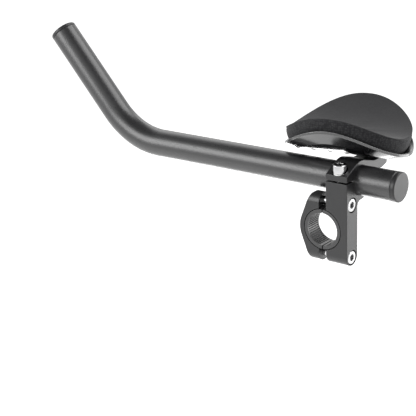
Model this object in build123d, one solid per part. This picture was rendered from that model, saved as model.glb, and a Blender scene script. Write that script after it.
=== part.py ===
from build123d import *
import os
from math import cos, radians, sin, sqrt, tan

# Aero handlebar extension for the right hand, in millimetres.
# Origin at the middle of the handlebar bore, +X forward, +Y inward (to the bike's middle), +Z up.

# Handlebar clamp
bar_diameter = 25.4
clamp_bore = 31.8
clamp_width = 15.0
clamp_half_height = 26.4
clamp_gap = 6.0
clamp_rear = 21.0
cap_front_radius = 19.5
cap_taper_angle = 21.0
cap_corner_radius = 3.0
post_corner_radius = 4.0

# Reducing shims between the clamp and the bar
shim_fit = 0.05
shim_gap = 1.0
shim_land = 1.0
shim_edge = 0.6
shim_edge_depth = 1.6
ridge_count = 22
ridge_pitch = 7.2
groove_width = 0.75
groove_depth = 0.7

# Extension tube
tube_diameter = 22.2
tube_wall = 2.0
tube_offset = 12.3
tube_height = 36.0
tube_rear_length = 50.4
tube_straight = 196.6
tube_front_length = 109.6
bend_angle = 48.3
bend_radius = 65.0
tube_edge = 0.4

# Tube clamp ring, with its slit and pinch ear
ring_wall = 3.75
tube_fit = 0.05
slit_height = 1.5
slit_rise = 2.2
ear_slope = 25.3
ring_post_fillet = 4.0
edge_round = 0.6

# Armrest arm on the outer side: a ramp down from the ring, a round end and a bevel under its rear corner
boss_offset = 46.0
boss_rise = 10.3
arm_height = 8.3
arm_under_fillet = 6.0
ramp_slope = 16.0
bevel_start = 40.9
bevel_turn = 32.6
bevel_slope = 28.4

# Screws: shank, head and hexagon socket
bar_screw = {"shank": 6.0, "length": 25.0, "head": 10.0, "head_height": 6.0, "socket": 5.0}
pinch_screw = {"shank": 5.0, "length": 16.0, "head": 10.0, "head_height": 6.3, "socket": 5.0}
rest_screw = {"shank": 6.0, "length": 10.0, "head": 11.0, "head_height": 1.9, "socket": 4.0}
socket_share = 0.55
head_chamfer = 0.4
tip_chamfer = 0.5
screw_clearance = 0.2
thread_clearance = 0.05
head_clearance = 0.7
head_sink = 0.2
bar_screw_height = 20.2
pinch_offset = 2.3
washer_thickness = 1.0
pinch_washer_diameter = 10.4
rest_washer_diameter = 14.0
rest_washer_sink = 1.0

# Armrest: oval trough, turned inward and tipped up at the front
rest_forward = 6.2
rest_outward = 39.1
rest_rise = 27.2
rest_yaw = 10.2
rest_pitch = 0.7
pad_length = 94.0
pad_width = 82.6
pad_thickness = 12.0
pad_edge = 2.0
trough_radius = 53.9
cup_lip = 1.7
cup_wall = 2.2
cup_foot_radius = 8.0
cup_seat_width = 9.0
lip_width = 1.2
lip_height = 0.9
lip_edge = 0.4
dish_rise = 2.2
dish_slope = 9.0
slot_count = 4
slot_pitch = 13.0
slot_width = 4.0
slot_length = 52.0
slot_shift = 12.0
fastener_thickness = 1.5
fastener_length = 40.0
fastener_width = 14.0
fastener_corner = 2.0
fastener_spacing = 32.0
fastener_shift = 6.0
soft_gap = 0.2

# End plugs
rear_plug_lip = 3.5
front_plug_lip = 2.8
plug_spigot = 14.0
plug_fit = 0.05
plug_edge = 1.0
plug_groove = 0.4

# Worked out from the values above
bar_radius = bar_diameter / 2
bore_radius = clamp_bore / 2
half_width = clamp_width / 2
half_gap = clamp_gap / 2
end_centre = clamp_half_height - half_width
clamp_length = clamp_rear - half_gap
clamp_middle = -(clamp_rear + half_gap) / 2
tube_radius = tube_diameter / 2
tube_bore_radius = tube_radius - tube_wall
ring_bore = tube_radius + tube_fit
ring_radius = ring_bore + ring_wall
slope = radians(ear_slope)
ear_tangent_y = -tube_offset + ring_radius * sin(slope)
ear_tangent_z = tube_height + ring_radius * cos(slope)
ear_tip_z = ear_tangent_z - tan(slope) * (half_width - ear_tangent_y)
pinch_seat = ear_tangent_z - tan(slope) * (pinch_offset + pinch_washer_diameter / 2 - ear_tangent_y)
boss_top = tube_height + boss_rise
boss_bottom = boss_top - arm_height
ramp = radians(ramp_slope)
ramp_tangent_y = -tube_offset - ring_radius * sin(ramp)
ramp_tangent_z = tube_height + ring_radius * cos(ramp)
ramp_foot_y = ramp_tangent_y - (ramp_tangent_z - boss_top) / tan(ramp)
arm_reach = boss_offset + clamp_length / 2
rest_height = tube_height + rest_rise
bar_seat = -clamp_rear + bar_screw["head_height"] + head_sink
rest_frame = Pos(rest_forward, -rest_outward, rest_height) * Rot(0, 0, rest_yaw) * Rot(0, -rest_pitch, 0)
cup_drop = pad_thickness + fastener_thickness + soft_gap


def rod(radius, length):
    """Cylinder standing on the XY plane."""
    return Cylinder(radius, length, align=(Align.CENTER, Align.CENTER, Align.MIN))


def across(radius, length):
    """Cylinder along Y, centred on the origin."""
    return Rot(90, 0, 0) * Cylinder(radius, length)


def along(radius, start, end, y, z):
    """Cylinder along X between two stations."""
    return Pos(start, y, z) * Rot(0, 90, 0) * rod(radius, end - start)


def socket_screw(size):
    """Socket head screw along Z, its head standing on the XY plane."""
    head = chamfer(rod(size["head"] / 2, size["head_height"]).edges().group_by(Axis.Z)[-1], head_chamfer)
    shank = Pos(0, 0, -size["length"]) * rod(size["shank"] / 2, size["length"])
    shank = chamfer(shank.edges().group_by(Axis.Z)[0], tip_chamfer)
    depth = size["head_height"] * socket_share
    hexagon = RegularPolygon(size["socket"] / 2, 6, major_radius=False)
    socket = extrude(Pos(0, 0, size["head_height"] - depth) * hexagon, amount=depth)
    return head + shank - socket


def washer(inner, outer, thickness):
    return rod(outer / 2, thickness) - rod(inner / 2, thickness)


def clamp_ends():
    """Outline of the bar clamp seen from behind, with full round ends."""
    ends = [(0, end_centre), (0, -end_centre)]
    return Rectangle(clamp_width, 2 * end_centre) + [Pos(*end) * Circle(half_width) for end in ends]


def bracket_section():
    """Post, tube ring, pinch ear and armrest arm as one outline in the YZ plane."""
    post_height = tube_height + end_centre
    post = Pos(0, tube_height - post_height / 2) * Rectangle(clamp_width, post_height)
    post += Pos(0, -end_centre) * Circle(half_width)
    ring = Pos(-tube_offset, tube_height) * Circle(ring_radius)
    ear_corners = [
        (-tube_offset, tube_height),
        (half_width, tube_height),
        (half_width, ear_tip_z),
        (ear_tangent_y, ear_tangent_z),
    ]
    arm_corners = [
        (-tube_offset, tube_height),
        (ramp_tangent_y, ramp_tangent_z),
        (ramp_foot_y, boss_top),
        (-arm_reach, boss_top),
        (-arm_reach, boss_bottom),
        (-tube_offset, boss_bottom),
    ]
    section = post + ring + make_face(Polyline(*ear_corners, close=True))
    section += make_face(Polyline(*arm_corners, close=True))
    post_meeting = tube_height - sqrt(ring_radius ** 2 - (tube_offset - half_width) ** 2)
    corner = section.vertices().sort_by_distance((-half_width, post_meeting, 0))[0]
    section = fillet(corner, ring_post_fillet)
    arm_meeting = -tube_offset - sqrt(ring_radius ** 2 - (boss_bottom - tube_height) ** 2)
    corner = section.vertices().sort_by_distance((arm_meeting, boss_bottom, 0))[0]
    return fillet(corner, arm_under_fillet)


def bracket_body():
    """Rear half of the bar clamp, tube clamp and armrest arm, machined as one piece."""
    body = extrude(Plane.YZ.offset(-clamp_rear) * bracket_section(), amount=clamp_length)
    outline = body.faces().sort_by(Axis.X)[0].outer_wire().edges()
    outline += body.faces().sort_by(Axis.X)[-1].outer_wire().edges()
    body = fillet(outline, edge_round) & post_envelope() & arm_envelope()
    bar_bore = across(bore_radius, 2 * clamp_width)
    tube_bore = along(ring_bore, -2 * clamp_rear, clamp_rear, -tube_offset, tube_height)
    slit_reach = tube_offset + clamp_width
    slit_place = Pos(clamp_middle, slit_reach / 2 - tube_offset, tube_height + slit_rise)
    slit = slit_place * Box(2 * clamp_length, slit_reach, slit_height)
    body -= bar_bore + tube_bore + slit
    for height in (bar_screw_height, -bar_screw_height):
        body -= along(bar_screw["shank"] / 2 + screw_clearance, -clamp_rear, 0, 0, height)
        body -= along(bar_screw["head"] / 2 + head_clearance, -clamp_rear, bar_seat, 0, height)
    return body - pinch_cuts() - rest_thread() - arm_bevel()


def post_envelope():
    """Block round the bracket that rounds the post's lower front corner."""
    top = 2 * (tube_height + ring_radius)
    block = Rectangle(clamp_length, top + clamp_half_height)
    block = Pos(clamp_middle, (top - clamp_half_height) / 2) * block
    corner = block.vertices().sort_by_distance((-half_gap, -clamp_half_height, 0))[0]
    return extrude(Plane.XZ * fillet(corner, post_corner_radius), amount=2 * arm_reach, both=True)


def arm_envelope():
    """Upright block round the bracket with the arm's full round end."""
    plan = Pos(clamp_middle, 0) * Rectangle(clamp_length, 2 * boss_offset)
    plan += Pos(clamp_middle, -boss_offset) * Circle(clamp_length / 2)
    return extrude(plan, amount=2 * (tube_height + ring_radius), both=True)


def arm_bevel():
    """Block below the slanting cut under the arm's rear outer corner."""
    place = Pos(-clamp_rear, -bevel_start, boss_bottom) * Rot(0, 0, bevel_turn) * Rot(0, bevel_slope, 0)
    return place * Box(2 * boss_offset, boss_offset, boss_offset, align=(Align.CENTER, Align.MAX, Align.MAX))


def pinch_cuts():
    """Spot face and clearance hole in the ear, and the threaded hole in the post below the slit."""
    place = Pos(clamp_middle, pinch_offset, 0)
    face = rod(pinch_washer_diameter / 2 + head_clearance, tube_height)
    clearance = rod(pinch_screw["shank"] / 2 + screw_clearance, tube_height)
    tip = pinch_seat + washer_thickness - pinch_screw["length"]
    thread = rod(pinch_screw["shank"] / 2 + thread_clearance, tube_height - tip)
    cuts = Pos(0, 0, pinch_seat) * face + Pos(0, 0, tube_height) * clearance
    return place * (cuts + Pos(0, 0, tip) * thread)


def rest_thread():
    """Threaded hole down through the armrest boss."""
    hole = rod(rest_screw["shank"] / 2 + thread_clearance, 2 * arm_height)
    return Pos(clamp_middle, -boss_offset, boss_bottom - arm_height / 2) * hole


def bar_clamp_cap():
    """Front half of the bar clamp: a tapered yoke with full round ends."""
    taper = radians(cap_taper_angle)
    turn = (cap_front_radius * cos(taper), cap_front_radius * sin(taper))
    end_x = turn[0] - tan(taper) * (clamp_half_height - turn[1])
    outline = Line((half_gap, -clamp_half_height), (end_x, -clamp_half_height))
    outline += Line((end_x, -clamp_half_height), (turn[0], -turn[1]))
    outline += ThreePointArc((turn[0], -turn[1]), (cap_front_radius, 0), turn)
    outline += Line(turn, (end_x, clamp_half_height))
    outline += Line((end_x, clamp_half_height), (half_gap, clamp_half_height))
    outline += Line((half_gap, clamp_half_height), (half_gap, -clamp_half_height))
    profile = make_face(outline)
    corners = [(end_x, clamp_half_height, 0), (end_x, -clamp_half_height, 0)]
    profile = fillet([profile.vertices().sort_by_distance(c)[0] for c in corners], cap_corner_radius)
    cap = extrude(Plane.XZ * profile, amount=half_width, both=True)
    cap &= extrude(Plane.YZ * clamp_ends(), amount=2 * cap_front_radius)
    cap -= across(bore_radius, 2 * clamp_width)
    for height in (bar_screw_height, -bar_screw_height):
        tip = bar_seat + bar_screw["length"]
        cap -= along(bar_screw["shank"] / 2 + thread_clearance, 0, tip, 0, height)
    return cap


def shims():
    """Two half shims with ridges along the bore."""
    ring = Circle(bore_radius - shim_fit) - Circle(bar_radius)
    sleeve = extrude(Plane.XZ * ring, amount=half_width, both=True)
    for side in (0, -1):
        end = sleeve.faces().sort_by(Axis.Y)[side]
        sleeve = chamfer(end.outer_wire().edges(), shim_edge, shim_edge_depth, reference=end)
    sleeve -= Box(shim_gap, 2 * clamp_width, clamp_bore)
    groove = Pos(bar_radius, 0, 0) * Box(2 * groove_depth, clamp_width - 2 * shim_land, groove_width)
    for side in (0, 180):
        for index in range(ridge_count):
            turn = side + (index - (ridge_count - 1) / 2) * ridge_pitch
            sleeve -= Rot(0, turn, 0) * groove
    halves = sleeve.solids().sort_by(Axis.X)
    return halves[-1], halves[0]


def bar_bolt(height):
    return Pos(bar_seat, 0, height) * Rot(0, -90, 0) * socket_screw(bar_screw)


def tube_path():
    """Middle line of the bent tube, from its rear end forward."""
    rise = radians(bend_angle)
    rear = (-tube_rear_length, -tube_offset, tube_height)
    corner = (tube_straight, -tube_offset, tube_height)
    tip_x = tube_straight + tube_front_length * cos(rise)
    tip_z = tube_height + tube_front_length * sin(rise)
    tip = (tip_x, -tube_offset, tip_z)
    return FilletPolyline(rear, corner, tip, radius=bend_radius)


def extension_tube():
    path = tube_path()
    ring = Circle(tube_radius) - Circle(tube_bore_radius)
    tube = sweep(Plane(origin=path @ 0, z_dir=path % 0) * ring, path=path)
    ends = tube.faces().filter_by(GeomType.PLANE)
    return chamfer([edge for end in ends for edge in end.outer_wire().edges()], tube_edge)


def end_plug(lip):
    """Plug along +Z: a lip on the tube's end and a spigot in its bore."""
    head = fillet(rod(tube_radius, lip).edges().group_by(Axis.Z)[-1], plug_edge)
    head = chamfer(head.edges().group_by(Axis.Z)[0], plug_groove)
    spigot = Pos(0, 0, -plug_spigot) * rod(tube_bore_radius - plug_fit, plug_spigot)
    hollow = Pos(0, 0, -plug_spigot) * rod(tube_bore_radius - tube_wall, plug_spigot)
    return head + spigot - hollow


def end_plugs():
    path = tube_path()
    front = Plane(origin=path @ 1, z_dir=path % 1).location * end_plug(front_plug_lip)
    rear = Plane(origin=path @ 0, z_dir=-(path % 0)).location * end_plug(rear_plug_lip)
    return front, rear


def trough(top, bottom, half_span):
    """Slab bent into a trough along X, between two drops below the pad's top line."""
    rise = trough_radius - sqrt(trough_radius ** 2 - half_span ** 2)
    upper = ThreePointArc((-half_span, rise - top), (0, -top), (half_span, rise - top))
    lower = ThreePointArc((-half_span, rise - bottom), (0, -bottom), (half_span, rise - bottom))
    sides = [Line(upper @ 0, lower @ 0), Line(upper @ 1, lower @ 1)]
    return extrude(Plane.YZ * make_face([upper, lower] + sides), amount=pad_length, both=True)


def oval(grow):
    """Upright block of the pad's plan, grown outward all round."""
    plan = Ellipse(pad_length / 2 + grow, pad_width / 2 + grow)
    return extrude(Pos(0, 0, -pad_length) * plan, amount=2 * pad_length)


def arm_pad():
    """Oval cushion bent into the cup's trough, with its rims rounded."""
    pad = trough(0, pad_thickness, half_span=pad_width / 2 + 2 * cup_lip) & oval(0)
    top, bottom = pad.faces().sort_by(SortBy.AREA)[-2:]
    return rest_frame * fillet(top.outer_wire().edges() + bottom.outer_wire().edges(), pad_edge)


def arm_cup():
    """Dished trough with a thin rim round the pad, cross slots and a foot that stands on the boss."""
    span = pad_width / 2 + 2 * cup_lip
    seat_drop = pad_thickness + soft_gap
    cup = trough(seat_drop, cup_drop + cup_wall, span) & oval(cup_lip)
    under = cup.faces().sort_by(Axis.Z)[0]
    cup = chamfer(under.outer_wire().edges(), dish_slope, dish_rise, reference=under)
    cup -= trough(0, cup_drop, span) & oval(-cup_seat_width)
    lip = trough(seat_drop - lip_height, seat_drop, span) & (oval(cup_lip) - oval(cup_lip - lip_width))
    rim = lip.faces().filter_by(lambda face: face.inner_wires()).sort_by(Axis.Z)[-1]
    cup += chamfer(rim.outer_wire().edges(), lip_edge)
    for index in range(slot_count):
        place = slot_shift + (index - (slot_count - 1) / 2) * slot_pitch
        slot = Rot(0, 0, 90) * SlotOverall(slot_length, slot_width)
        cup -= Pos(place, 0, 0) * extrude(slot, amount=pad_length, both=True)
    foot_height = rest_height - cup_drop - boss_top
    foot = Pos(clamp_middle, -boss_offset, boss_top) * rod(cup_foot_radius, foot_height)
    cup = rest_frame * cup + (foot - rest_frame * trough(-pad_length, cup_drop, span))
    seat = rest_seat()
    recess = Pos(0, 0, seat) * rod(rest_washer_diameter / 2 + screw_clearance, pad_thickness)
    hole = Pos(0, 0, boss_top) * rod(rest_screw["shank"] / 2 + screw_clearance, seat)
    return cup - Pos(clamp_middle, -boss_offset, 0) * (recess + hole)


def rest_seat():
    """Height of the washer's seat in the cup floor above the boss."""
    return boss_top + cup_wall - rest_washer_sink


def pad_fasteners():
    """Hook-and-loop strips that hold the pad in the cup, ahead of the armrest screw."""
    layer = trough(pad_thickness + soft_gap, cup_drop, half_span=pad_width / 2)
    strips = []
    for side in (1, -1):
        plan = RectangleRounded(fastener_length, fastener_width, fastener_corner)
        place = Pos(fastener_shift, side * fastener_spacing / 2, 0)
        strips += (layer & place * extrude(plan, amount=pad_length, both=True)).solids()
    return Compound([rest_frame * strip for strip in strips])


front_plug, rear_plug = end_plugs()
front_shim, rear_shim = shims()
pinch_place = Pos(clamp_middle, pinch_offset, pinch_seat)
rest_place = Pos(clamp_middle, -boss_offset, rest_seat())
nodes = {
    "bracket_body": bracket_body(),
    "bar_clamp_cap": bar_clamp_cap(),
    "upper_bar_bolt": bar_bolt(bar_screw_height),
    "lower_bar_bolt": bar_bolt(-bar_screw_height),
    "front_shim": front_shim,
    "rear_shim": rear_shim,
    "tube_pinch_bolt": pinch_place * Pos(0, 0, washer_thickness) * socket_screw(pinch_screw),
    "tube_pinch_washer": pinch_place * washer(
        pinch_screw["shank"] + 2 * screw_clearance, pinch_washer_diameter, washer_thickness),
    "extension_tube": extension_tube(),
    "front_end_plug": front_plug,
    "rear_end_plug": rear_plug,
    "arm_cup": arm_cup(),
    "armrest_bolt": rest_place * Pos(0, 0, washer_thickness) * socket_screw(rest_screw),
    "armrest_washer": rest_place * washer(
        rest_screw["shank"] + 2 * screw_clearance, rest_washer_diameter, washer_thickness),
    "pad_fastener_strips": pad_fasteners(),
    "arm_pad": arm_pad(),
}
os.makedirs("parts", exist_ok=True)
for name, shape in nodes.items():
    export_step(shape, f"parts/{name}.step")
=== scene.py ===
from math import copysign, cos, pi, radians, sin, sqrt

import bmesh
import bpy
from mathutils import Matrix, Vector


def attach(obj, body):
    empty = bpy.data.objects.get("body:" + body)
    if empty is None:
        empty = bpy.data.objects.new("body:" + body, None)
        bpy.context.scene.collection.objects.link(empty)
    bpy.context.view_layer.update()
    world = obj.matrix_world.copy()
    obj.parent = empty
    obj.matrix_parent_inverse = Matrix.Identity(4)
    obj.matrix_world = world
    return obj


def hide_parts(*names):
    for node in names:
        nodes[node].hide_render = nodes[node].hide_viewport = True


# Looks of the aero handlebar extension, in metres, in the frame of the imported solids.
# Origin at the middle of the handlebar bore, +X forward, +Y inward, +Z up.

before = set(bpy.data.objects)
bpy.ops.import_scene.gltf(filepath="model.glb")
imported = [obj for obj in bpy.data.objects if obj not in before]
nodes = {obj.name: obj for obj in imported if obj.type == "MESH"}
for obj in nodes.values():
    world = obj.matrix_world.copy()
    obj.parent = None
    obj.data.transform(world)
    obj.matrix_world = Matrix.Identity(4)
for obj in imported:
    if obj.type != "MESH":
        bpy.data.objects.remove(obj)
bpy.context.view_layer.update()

# Camera
camera_place = Vector((-0.4542, 0.7033, 0.3059))
camera_azimuth = radians(38.85)
camera_elevation = radians(19.07)
camera_roll = radians(-2.28)
camera_lens = 104.4
camera_sensor = 36.0
camera_near = 0.01

# Studio: a white floor and walls, a dim ceiling, and softboxes as (place, width, height, radiance)
floor_height = -0.5
floor_reach = 30.0
floor_colour = (0.8, 0.8, 0.8)
floor_roughness = 0.9
floor_glow = 0.76
wall_light = 0.8
wall_top = 0.55
ceiling_from = 0.8
ceiling_light = 0.15
lamp_aim = Vector((0.05, -0.01, 0.04))
softboxes = {
    "front_softbox": ((0.80, 0.95, 0.44), 1.0, 0.65, 4.2),
    "high_softbox": ((-0.50, -0.62, 1.25), 1.3, 0.9, 3.4),
    "back_softbox": ((0.95, -0.95, 0.85), 1.4, 0.8, 1.1),
    "side_softbox": ((-0.90, -1.10, -0.12), 0.9, 0.6, 3.2),
    "low_softbox": ((0.40, -0.40, -0.38), 0.40, 0.30, 4.0),
}

# Extension tube, for the printed scale on its outer side
tube_radius = 0.0111
tube_axis_y = -0.0123
tube_axis_z = 0.036
scale_zero_x = -0.021
scale_step = 0.010
scale_last = 8
scale_angle = radians(182)
scale_text_height = 0.0042
scale_text_rise = 0.0032
scale_text_curve = 3
scale_tick_length = 0.0022
scale_tick_width = 0.0004
scale_zero_lines = (-0.0002, -0.0022)
scale_lift = 0.00002
tick_parts = 4

# Arm pad
rest_centre = Vector((0.0062, -0.0391, 0.0632))
rest_yaw = radians(10.2)
rest_pitch = radians(0.7)
pad_half_length = 0.047
pad_half_width = 0.0413
pad_fullness = 2.16
pad_thickness = 0.012
trough_radius = 0.0539
pad_around = 160
pad_top_rings = 26
pad_bottom_rings = 8
ring_spacing = 0.8
seam_angles = (30, 60, 90)
seam_round = 0.0007
seam_groove = 0.0005
seam_groove_drop = 0.0011
groove_fade = 6.0
band_steps = 10
band_bulge = 0.0004
band_taper = 0.0022
band_tuck = 0.0006
edge_falloff = 6
crown_height = 0.0007

# Swelling of the pad's cover by its foam
cloth_frames = 20
cloth_quality = 6
cloth_mass = 0.2
cloth_stretch = 40.0
cloth_bending = 2.0
foam_pressure = 4.0
swell_limit = 0.0012
swell_passes = 14
least_step = 1e-9

# Noise: the range that most of it lies in, and its features per metre on each finish
noise_low = 0.3
noise_high = 0.7
metal_grain = 2600.0
metal_speck = 1000.0
metal_cloud = 60.0
plating_marks = 900.0
plating_cloud = 150.0
plastic_grain = 1500.0
plastic_cloud = 45.0
fabric_nap = 3500.0
fabric_cloud = 70.0
ink_speck = 1200.0

# Lighter edges, partly wear and partly a painted highlight, start and are full where the rounded normal
# agrees this well with the plain one
wear_and_highlight_start = 0.995
wear_and_highlight_full = 0.8
wear_and_highlight_samples = 6

# Painted shade in recesses: full and gone at these shares of open space round a point, within its reach
painted_shade_full_at = 0.15
painted_shade_gone_at = 0.6
painted_shade_reach = 0.004
painted_shade_samples = 8

# Anodised aluminium
metal_grain_strength = 0.7
metal_grain_depth = 0.00004
metal_roughness_spread = 0.06

# Plated screws
plating_dark = (0.54, 0.54, 0.55)
plating_light = (0.68, 0.68, 0.68)
# Edge colour, partly wear and partly a painted highlight
plating_edge_wear_and_highlight = (0.9, 0.9, 0.9)
# Painted shade: the plating's colour inside sockets and gaps
plating_painted_shade = (0.04, 0.04, 0.04)
plating_edge_radius = 0.00035
plating_smooth = 0.08
plating_rough = 0.2
plating_marks_strength = 0.1
plating_marks_depth = 0.00003

# Moulded plastic
plastic_edge_radius = 0.0004
plastic_grain_depth = 0.00005
plastic_roughness_spread = 0.03

# Knitted fabric
loop_scatter = 0.55
loop_sink = -0.6
nap_low = 0.5
nap_high = 0.9
fabric_fade = 0.25
fabric_relief = 0.0002
fabric_smooth = 0.82
fabric_rough = 0.95
fabric_specular = 0.2
fabric_sheen = 0.15
fabric_sheen_roughness = 0.5

# Printed ink, between thin and full places
ink_thin_at = 0.35
ink_full_at = 0.6
ink_thin = (0.5, 0.5, 0.5)
ink_full = (0.7, 0.7, 0.7)
ink_smooth = 0.45
ink_rough = 0.6


def new_tree(name):
    """New node material: its node tree and its Principled shader."""
    material = bpy.data.materials.new(name)
    material.use_nodes = True
    tree = material.node_tree
    return material, tree, tree.nodes["Principled BSDF"]


def add(tree, kind, inputs=None, **settings):
    """Node with its settings, whose inputs take constants or other nodes' sockets."""
    made = tree.nodes.new(kind)
    for name, value in settings.items():
        setattr(made, name, value)
    for name, value in (inputs or {}).items():
        if isinstance(value, bpy.types.NodeSocket):
            tree.links.new(value, made.inputs[name])
        else:
            made.inputs[name].default_value = value
    return made


def noise(tree, scale, detail=3.0):
    """Noise over the piece, with its scale in features per metre."""
    place = add(tree, "ShaderNodeTexCoord").outputs["Object"]
    made = add(tree, "ShaderNodeTexNoise", {"Vector": place, "Scale": scale, "Detail": detail})
    return made.outputs["Fac"]


def spread(tree, value, low, high):
    """Noise value stretched between two numbers."""
    made = add(tree, "ShaderNodeMapRange", {"Value": value, "From Min": noise_low, "From Max": noise_high,
                                            "To Min": low, "To Max": high})
    return made.outputs["Result"]


def tones(tree, value, *stops):
    """Colour that runs between two stops as the value goes from the first to the second."""
    made = add(tree, "ShaderNodeValToRGB", {"Fac": value})
    for element, (at, colour) in zip(made.color_ramp.elements, stops):
        element.position = at
        element.color = (*colour, 1.0)
    return made.outputs["Color"]


def bump(tree, height, strength, distance, normal=None):
    """Normal of a bumped surface, on top of another normal where one is given."""
    inputs = {"Height": height, "Strength": strength, "Distance": distance}
    if normal is not None:
        inputs["Normal"] = normal
    return add(tree, "ShaderNodeBump", inputs).outputs["Normal"]


def worn_edges(tree, radius):
    """Mask that is 1 on the piece's sharp edges, where the colour is lightened as wear and as a painted
    highlight, and the rounded normal it comes from.
    """
    rounded = add(tree, "ShaderNodeBevel", {"Radius": radius}, samples=wear_and_highlight_samples).outputs["Normal"]
    plain = add(tree, "ShaderNodeNewGeometry").outputs["Normal"]
    match = add(tree, "ShaderNodeVectorMath", operation="DOT_PRODUCT")
    tree.links.new(rounded, match.inputs[0])
    tree.links.new(plain, match.inputs[1])
    mask = add(tree, "ShaderNodeMapRange", {"Value": match.outputs["Value"], "From Min": wear_and_highlight_start,
                                            "From Max": wear_and_highlight_full, "To Min": 0.0, "To Max": 1.0})
    return mask.outputs["Result"], rounded


def open_share(tree):
    """Mask for painted shade: 1 on open faces, falling towards 0 inside sockets, gaps and corners, where the
    colour is darkened as shade.
    """
    occlusion = add(tree, "ShaderNodeAmbientOcclusion", {"Distance": painted_shade_reach}, samples=painted_shade_samples)
    share = add(tree, "ShaderNodeMapRange", {"Value": occlusion.outputs["AO"], "From Min": painted_shade_full_at,
                                             "From Max": painted_shade_gone_at, "To Min": 0.0, "To Max": 1.0})
    return share.outputs["Result"]


def mixed(tree, share, first, second):
    """Colour between two colours or sockets; the node's colours are its inputs 6 and 7 and its output 2."""
    made = add(tree, "ShaderNodeMix", data_type="RGBA")
    tree.links.new(share, made.inputs["Factor"])
    for socket, value in ((made.inputs[6], first), (made.inputs[7], second)):
        if isinstance(value, bpy.types.NodeSocket):
            tree.links.new(value, socket)
        else:
            socket.default_value = (*value, 1.0)
    return made.outputs[2]


def anodised(name, dark, light, edge, roughness, shine, edge_radius):
    """Bead-blasted aluminium, anodised: a fine grain, soft cloudiness and lighter edges, partly wear and
    partly a painted highlight.
    """
    material, tree, shader = new_tree(name)
    grain = noise(tree, metal_grain)
    speck = noise(tree, metal_speck, 2.0)
    cloud = noise(tree, metal_cloud, 4.0)
    coat = tones(tree, cloud, (noise_low, dark), (noise_high, light))
    wear_and_highlight, rounded = worn_edges(tree, edge_radius)
    matt = spread(tree, speck, roughness - metal_roughness_spread, roughness + metal_roughness_spread)
    blasted = bump(tree, grain, metal_grain_strength, metal_grain_depth, rounded)
    # Edges lightened as wear and as a painted highlight
    tree.links.new(mixed(tree, wear_and_highlight, coat, edge), shader.inputs["Base Color"])
    tree.links.new(matt, shader.inputs["Roughness"])
    tree.links.new(blasted, shader.inputs["Normal"])
    shader.inputs["IOR"].default_value = shine
    return material


def plated_steel(name):
    """Bright zinc-plated screws with fine handling marks, edges lighter as wear and as a painted highlight,
    and painted shade in sockets and gaps.
    """
    material, tree, shader = new_tree(name)
    marks = noise(tree, plating_marks, 5.0)
    cloud = noise(tree, plating_cloud, 2.0)
    wear_and_highlight, rounded = worn_edges(tree, plating_edge_radius)
    colour = tones(tree, cloud, (noise_low, plating_dark), (noise_high, plating_light))
    # Edges lightened as wear and as a painted highlight
    bright = mixed(tree, wear_and_highlight, colour, plating_edge_wear_and_highlight)
    # Painted shade: the colour goes dark inside sockets and gaps, where shade falls
    plating_with_painted_shade = mixed(tree, open_share(tree), plating_painted_shade, bright)
    marked = bump(tree, marks, plating_marks_strength, plating_marks_depth, rounded)
    tree.links.new(plating_with_painted_shade, shader.inputs["Base Color"])
    tree.links.new(spread(tree, marks, plating_smooth, plating_rough), shader.inputs["Roughness"])
    tree.links.new(marked, shader.inputs["Normal"])
    shader.inputs["Metallic"].default_value = 1.0
    return material


def moulded(name, dark, light, edge, roughness, shine, grain_strength):
    """Injection-moulded plastic with a faint surface grain and lighter edges, partly scuffing and partly a
    painted highlight.
    """
    material, tree, shader = new_tree(name)
    grain = noise(tree, plastic_grain)
    cloud = noise(tree, plastic_cloud)
    wear_and_highlight, rounded = worn_edges(tree, plastic_edge_radius)
    ground = tones(tree, cloud, (noise_low, dark), (noise_high, light))
    gloss = spread(tree, cloud, roughness - plastic_roughness_spread, roughness + plastic_roughness_spread)
    grained = bump(tree, grain, grain_strength, plastic_grain_depth, rounded)
    # Edges lightened as scuffing and as a painted highlight
    tree.links.new(mixed(tree, wear_and_highlight, ground, edge), shader.inputs["Base Color"])
    tree.links.new(gloss, shader.inputs["Roughness"])
    tree.links.new(grained, shader.inputs["Normal"])
    shader.inputs["IOR"].default_value = shine
    return material


def knit(name, dark, light, stitch, depth):
    """Stretch knit over foam: fine ribs of loops, a soft nap and a little uneven wear."""
    material, tree, shader = new_tree(name)
    place = add(tree, "ShaderNodeTexCoord").outputs["Object"]
    loops = add(tree, "ShaderNodeTexVoronoi",
                {"Vector": place, "Scale": 1.0 / stitch, "Randomness": loop_scatter})
    fuzz = noise(tree, fabric_nap, 4.0)
    cloud = noise(tree, fabric_cloud, 4.0)
    nap = spread(tree, fuzz, nap_low, nap_high)
    rise = {0: loops.outputs["Distance"], 1: loop_sink, 2: nap}
    height = add(tree, "ShaderNodeMath", rise, operation="MULTIPLY_ADD").outputs["Value"]
    weave = mixed(tree, spread(tree, height, 0.0, 1.0), dark, light)
    faded = mixed(tree, spread(tree, cloud, 0.0, fabric_fade), weave, light)
    tree.links.new(faded, shader.inputs["Base Color"])
    tree.links.new(spread(tree, fuzz, fabric_smooth, fabric_rough), shader.inputs["Roughness"])
    tree.links.new(bump(tree, height, depth, fabric_relief), shader.inputs["Normal"])
    shader.inputs["Specular IOR Level"].default_value = fabric_specular
    shader.inputs["Sheen Weight"].default_value = fabric_sheen
    shader.inputs["Sheen Roughness"].default_value = fabric_sheen_roughness
    return material


def ink(name):
    """Pale printed ink, slightly thin in places."""
    material, tree, shader = new_tree(name)
    thin = noise(tree, ink_speck)
    colour = tones(tree, thin, (ink_thin_at, ink_thin), (ink_full_at, ink_full))
    tree.links.new(colour, shader.inputs["Base Color"])
    tree.links.new(spread(tree, thin, ink_smooth, ink_rough), shader.inputs["Roughness"])
    return material


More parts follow.
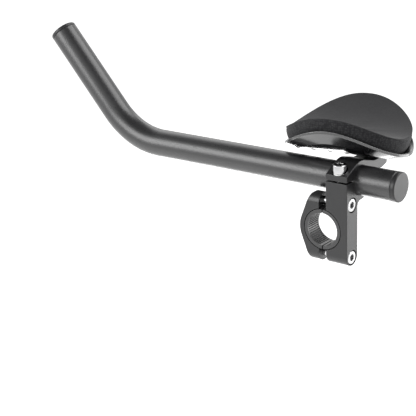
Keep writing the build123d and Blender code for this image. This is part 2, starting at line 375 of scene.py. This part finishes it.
def dress_solids():
    """Finish of every node that stays as the CAD made it."""
    bracket = anodised("bracket_anodised", dark=(0.008, 0.008, 0.009), light=(0.012, 0.012, 0.013),
                       edge=(0.05, 0.05, 0.051), roughness=0.36, shine=1.59, edge_radius=0.0005)
    tube = anodised("tube_anodised", dark=(0.012, 0.012, 0.013), light=(0.017, 0.017, 0.018),
                    edge=(0.05, 0.05, 0.05), roughness=0.33, shine=1.74, edge_radius=0.0003)
    shim = anodised("shim_anodised", dark=(0.016, 0.016, 0.017), light=(0.022, 0.022, 0.023),
                    edge=(0.08, 0.08, 0.08), roughness=0.36, shine=1.7, edge_radius=0.0002)
    steel = plated_steel("screw_plating")
    plug = moulded("plug_plastic", dark=(0.014, 0.014, 0.015), light=(0.019, 0.019, 0.020),
                   edge=(0.08, 0.08, 0.08), roughness=0.38, shine=1.5, grain_strength=0.2)
    # The cup's near-white edge colour is a painted highlight along its rim and other edges
    cup = moulded("cup_plastic", dark=(0.006, 0.006, 0.007), light=(0.009, 0.009, 0.010),
                  edge=(0.7, 0.7, 0.7), roughness=0.18, shine=2.05, grain_strength=0.03)
    tape = knit("fastener_tape", dark=(0.02, 0.02, 0.02), light=(0.035, 0.035, 0.035),
                stitch=0.0008, depth=0.8)
    finishes = {
        bracket: ("bracket_body", "bar_clamp_cap"),
        tube: ("extension_tube",),
        shim: ("front_shim", "rear_shim"),
        steel: ("upper_bar_bolt", "lower_bar_bolt", "tube_pinch_bolt", "tube_pinch_washer",
                "armrest_bolt", "armrest_washer"),
        plug: ("front_end_plug", "rear_end_plug"),
        cup: ("arm_cup",),
        tape: ("pad_fastener_strips",),
    }
    for material, names in finishes.items():
        for name in names:
            nodes[name].data.materials.clear()
            nodes[name].data.materials.append(material)


def new_object(name, mesh, *materials):
    """Object in the scene with its mesh and materials."""
    made = bpy.data.objects.new(name, mesh)
    bpy.context.scene.collection.objects.link(made)
    for material in materials:
        mesh.materials.append(material)
    return made


def signed_power(value, power):
    """Power of a number's size, with the number's sign."""
    return copysign(abs(value) ** power, value)


def oval_outline(count):
    """Points and outward normals round the pad's plan, an oval a little fuller than an ellipse."""
    points = []
    for index in range(count):
        turn = 2 * pi * index / count
        x = signed_power(cos(turn), 2 / pad_fullness)
        y = signed_power(sin(turn), 2 / pad_fullness)
        slope_x = signed_power(x, pad_fullness - 1) / pad_half_length
        slope_y = signed_power(y, pad_fullness - 1) / pad_half_width
        point = Vector((pad_half_length * x, pad_half_width * y))
        points.append((point, Vector((slope_x, slope_y)).normalized()))
    return points


def trough_height(y):
    """Rise of the trough's round section from its middle line."""
    return trough_radius - sqrt(trough_radius ** 2 - y ** 2)


def pad_rings():
    """Loops of the cover from the middle of its top, over the seam and band, to the middle below."""
    outline = oval_outline(pad_around)
    loops = []
    top_reach = 1.0 - seam_round / pad_half_width
    for ring in range(1, pad_top_rings + 1):
        share = (ring / pad_top_rings) ** ring_spacing * top_reach
        crown = crown_height * (1.0 - share ** edge_falloff)
        loops.append([(share * p, crown) for p, n in outline])
    for angle in seam_angles:
        drop = seam_round * (1 - cos(radians(angle)))
        inset = seam_round * (1 - sin(radians(angle)))
        loops.append([(p - inset * n, -drop) for p, n in outline])
    band = [(seam_groove_drop, seam_groove)]
    band_length = pad_thickness - 2 * seam_groove_drop
    for step in range(1, band_steps + 1):
        share = step / band_steps
        groove = seam_groove * max(0.0, 1.0 - groove_fade * share)
        bulge = band_bulge * sin(pi * share)
        inset = groove - bulge + band_taper * share + band_tuck * share ** edge_falloff
        band.append((seam_groove_drop + band_length * share, inset))
    under_inset = band_taper + 2 * band_tuck
    band.append((pad_thickness, under_inset))
    for drop, inset in band:
        loops.append([(p - inset * n, -drop) for p, n in outline])
    for ring in range(1, pad_bottom_rings):
        share = (1.0 - ring / pad_bottom_rings) * (1.0 - under_inset / pad_half_width)
        loops.append([(share * p, -pad_thickness) for p, n in outline])
    return loops


def pad_cover():
    """Closed mesh of the arm pad in its own frame, with its top panel and band as separate fabrics."""
    loops = pad_rings()
    mesh = bmesh.new()
    rows = [[mesh.verts.new((p.x, p.y, trough_height(p.y) + z)) for p, z in loop] for loop in loops]
    first_band_row = pad_top_rings + len(seam_angles) - 1
    for row, (upper, lower) in enumerate(zip(rows, rows[1:])):
        for k in range(pad_around):
            after = (k + 1) % pad_around
            face = mesh.faces.new((upper[k], lower[k], lower[after], upper[after]))
            face.material_index = 1 if row >= first_band_row else 0
    for row, height, turn in ((rows[0], crown_height, 1), (rows[-1], -pad_thickness, -1)):
        middle = mesh.verts.new((0, 0, height))
        for k in range(pad_around):
            face = mesh.faces.new((middle, row[k], row[(k + 1) % pad_around])[::turn])
            face.material_index = 0 if turn > 0 else 1
    made = bpy.data.meshes.new("arm_pad_cover")
    mesh.to_mesh(made)
    mesh.free()
    made.polygons.foreach_set("use_smooth", [True] * len(made.polygons))
    return made


def eased(mesh, steps, pinned):
    """Moves of a mesh's points, evened out between neighbours so that a stretched cover shows no creases."""
    for _ in range(swell_passes):
        sums = [step.copy() for step in steps]
        counts = [1] * len(steps)
        for edge in mesh.edges:
            for here, there in (edge.vertices, reversed(edge.vertices)):
                sums[here] += steps[there]
                counts[here] += 1
        steps = [total / count for total, count in zip(sums, counts)]
        for index in pinned:
            steps[index] = Vector()
    return steps


def inflate(pad, pinned):
    """Lets the foam press the cover outward in a short cloth simulation, with its sewn loops held."""
    group = pad.vertex_groups.new(name="held")
    group.add(pinned, 1.0, "REPLACE")
    rest = [v.co.copy() for v in pad.data.vertices]
    cloth = pad.modifiers.new("foam", "CLOTH")
    cloth.settings.quality = cloth_quality
    cloth.settings.mass = cloth_mass
    cloth.settings.tension_stiffness = cloth_stretch
    cloth.settings.compression_stiffness = cloth_stretch
    cloth.settings.bending_stiffness = cloth_bending
    cloth.settings.use_pressure = True
    cloth.settings.uniform_pressure_force = foam_pressure
    cloth.settings.vertex_group_mass = group.name
    cloth.settings.effector_weights.gravity = 0.0
    cloth.collision_settings.use_collision = False
    scene = bpy.context.scene
    for step in range(1, cloth_frames + 1):
        scene.frame_set(step)
    bpy.context.view_layer.update()
    swollen = pad.evaluated_get(bpy.context.evaluated_depsgraph_get()).to_mesh()
    swell = [v.co - start for v, start in zip(swollen.vertices, rest)]
    pad.modifiers.remove(cloth)
    pad.vertex_groups.remove(group)
    scene.frame_set(1)
    for vertex, start, step in zip(pad.data.vertices, rest, eased(pad.data, swell, pinned)):
        vertex.co = start + step * min(1.0, swell_limit / max(step.length, least_step))


def held_points(count):
    """Points of the cover that are sewn at the seam or glued below, the lower middle one among them."""
    band_row = pad_top_rings + len(seam_angles)
    seam = range((pad_top_rings - 1) * pad_around, (band_row + 1) * pad_around)
    below = range((band_row + band_steps) * pad_around, count - 2)
    return [*seam, *below, count - 1]


def make_pad():
    """The arm pad's sewn cover, swollen by its foam and set in the cup."""
    top = knit("pad_top_knit", dark=(0.034, 0.034, 0.036), light=(0.056, 0.056, 0.058),
               stitch=0.0008, depth=0.35)
    band = knit("pad_band_knit", dark=(0.012, 0.012, 0.014), light=(0.056, 0.056, 0.058),
                stitch=0.0016, depth=1.0)
    pad = new_object("arm_pad_cover", pad_cover(), top, band)
    inflate(pad, held_points(len(pad.data.vertices)))
    pad.modifiers.new("smooth", "SUBSURF").render_levels = 1
    turn = Matrix.Rotation(rest_yaw, 4, "Z") @ Matrix.Rotation(-rest_pitch, 4, "Y")
    pad.data.transform(Matrix.Translation(rest_centre) @ turn)
    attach(pad, "bracket")
    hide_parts("arm_pad")


def wrapped(x, rise):
    """Point on the tube's outer side, a little above its surface, from a distance along and round it."""
    angle = scale_angle + rise / tube_radius
    reach = tube_radius + scale_lift
    return Vector((x, tube_axis_y + reach * cos(angle), tube_axis_z - reach * sin(angle)))


def tick_faces(mesh, x, length):
    """One printed line round the tube, in short faces that follow its curve."""
    rows = []
    for step in range(tick_parts + 1):
        rise = length * step / tick_parts
        rows.append([mesh.verts.new(wrapped(x + side * scale_tick_width / 2, rise)) for side in (-1, 1)])
    for below, above in zip(rows, rows[1:]):
        mesh.faces.new((below[0], below[1], above[1], above[0]))


def printed_scale():
    """Plain centimetre numbers and ticks on the tube, and the pair of lines at the zero setting."""
    mesh = bmesh.new()
    for number in range(1, scale_last + 1):
        x = scale_zero_x + number * scale_step
        tick_faces(mesh, x, scale_tick_length)
        digit = bpy.data.curves.new("number", "FONT")
        digit.body = str(number)
        digit.size = scale_text_height
        digit.align_x = "CENTER"
        digit.resolution_u = scale_text_curve
        holder = bpy.data.objects.new("number", digit)
        flat = holder.to_mesh()
        spots = [mesh.verts.new(wrapped(x + v.co.x, scale_text_rise + v.co.y)) for v in flat.vertices]
        for polygon in flat.polygons:
            mesh.faces.new([spots[i] for i in polygon.vertices])
        holder.to_mesh_clear()
        bpy.data.objects.remove(holder)
    for offset in scale_zero_lines:
        tick_faces(mesh, scale_zero_x + offset, 2 * scale_tick_length)
    made = bpy.data.meshes.new("tube_scale")
    bmesh.ops.recalc_face_normals(mesh, faces=mesh.faces)
    mesh.to_mesh(made)
    mesh.free()
    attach(new_object("tube_scale", made, ink("scale_ink")), "extension")


def make_camera():
    """Camera at the photograph's viewing angle."""
    back = Vector((-sin(camera_azimuth) * cos(camera_elevation), cos(camera_azimuth) * cos(camera_elevation),
                   sin(camera_elevation)))
    level = Vector((-cos(camera_azimuth), -sin(camera_azimuth), 0))
    upright = back.cross(level)
    right = cos(camera_roll) * level + sin(camera_roll) * upright
    lens = bpy.data.cameras.new("camera")
    lens.lens = camera_lens
    lens.sensor_width = camera_sensor
    lens.clip_start = camera_near
    camera = bpy.data.objects.new("camera", lens)
    turn = Matrix((right, back.cross(right), back)).transposed().to_4x4()
    camera.matrix_world = Matrix.Translation(camera_place) @ turn
    bpy.context.scene.collection.objects.link(camera)
    bpy.context.scene.camera = camera


def soft_lamp(name, place, width, height, radiance):
    """Softbox aimed at the object, as bright over its face as the radiance says."""
    lamp = bpy.data.lights.new(name, "AREA")
    lamp.shape = "RECTANGLE"
    lamp.size = width
    lamp.size_y = height
    lamp.energy = radiance * pi * width * height
    holder = bpy.data.objects.new(name, lamp)
    holder.location = place
    holder.rotation_euler = (lamp_aim - Vector(place)).to_track_quat("-Z", "Y").to_euler()
    holder.visible_camera = False
    bpy.context.scene.collection.objects.link(holder)


def in_view(tree):
    """1 for what the camera sees, straight or in a reflection or through glass, and 0 for other light."""
    path = add(tree, "ShaderNodeLightPath").outputs
    seen = path["Is Camera Ray"]
    for ray in ("Is Glossy Ray", "Is Transmission Ray"):
        seen = add(tree, "ShaderNodeMath", {0: seen, 1: path[ray]}, operation="MAXIMUM").outputs[0]
    return seen


def white_floor():
    """Wide pale floor that shows as the white background and still takes the object's soft shadow."""
    signs = ((-1, -1), (1, -1), (1, 1), (-1, 1))
    corners = [(x * floor_reach, y * floor_reach, floor_height) for x, y in signs]
    mesh = bpy.data.meshes.new("floor")
    mesh.from_pydata(corners, [], [(0, 1, 2, 3)])
    material, tree, shader = new_tree("floor_white")
    glow = add(tree, "ShaderNodeMath", {0: in_view(tree), 1: floor_glow}, operation="MULTIPLY")
    tree.links.new(glow.outputs[0], shader.inputs["Emission Strength"])
    shader.inputs["Emission Color"].default_value = (1.0, 1.0, 1.0, 1.0)
    shader.inputs["Base Color"].default_value = (*floor_colour, 1.0)
    shader.inputs["Roughness"].default_value = floor_roughness
    shader.inputs["Specular IOR Level"].default_value = 0.0
    new_object("floor", mesh, material)


def studio_world():
    """White walls all round and a dim ceiling, all white where the camera looks straight past the floor."""
    world = bpy.data.worlds.new("studio")
    world.use_nodes = True
    tree = world.node_tree
    tree.nodes.clear()
    upward = add(tree, "ShaderNodeTexCoord").outputs["Generated"]
    height = add(tree, "ShaderNodeSeparateXYZ", {"Vector": upward}).outputs["Z"]
    shade = tones(tree, height, (wall_top, (1.0, 1.0, 1.0)), (ceiling_from, (ceiling_light,) * 3))
    straight = add(tree, "ShaderNodeLightPath").outputs["Is Camera Ray"]
    backdrop = mixed(tree, straight, shade, (1.0, 1.0, 1.0))
    walls = add(tree, "ShaderNodeBackground", {"Color": shade, "Strength": wall_light})
    white = add(tree, "ShaderNodeBackground", {"Color": backdrop, "Strength": 1.0})
    mix = add(tree, "ShaderNodeMixShader", {0: in_view(tree), 1: walls.outputs[0], 2: white.outputs[0]})
    add(tree, "ShaderNodeOutputWorld", {"Surface": mix.outputs[0]})
    bpy.context.scene.world = world


def studio():
    """Floor, walls and softboxes."""
    white_floor()
    studio_world()
    for name, (place, width, height, radiance) in softboxes.items():
        soft_lamp(name, place, width, height, radiance)


dress_solids()
make_pad()
printed_scale()
make_camera()
studio()
bpy.context.scene.view_settings.view_transform = "Standard"
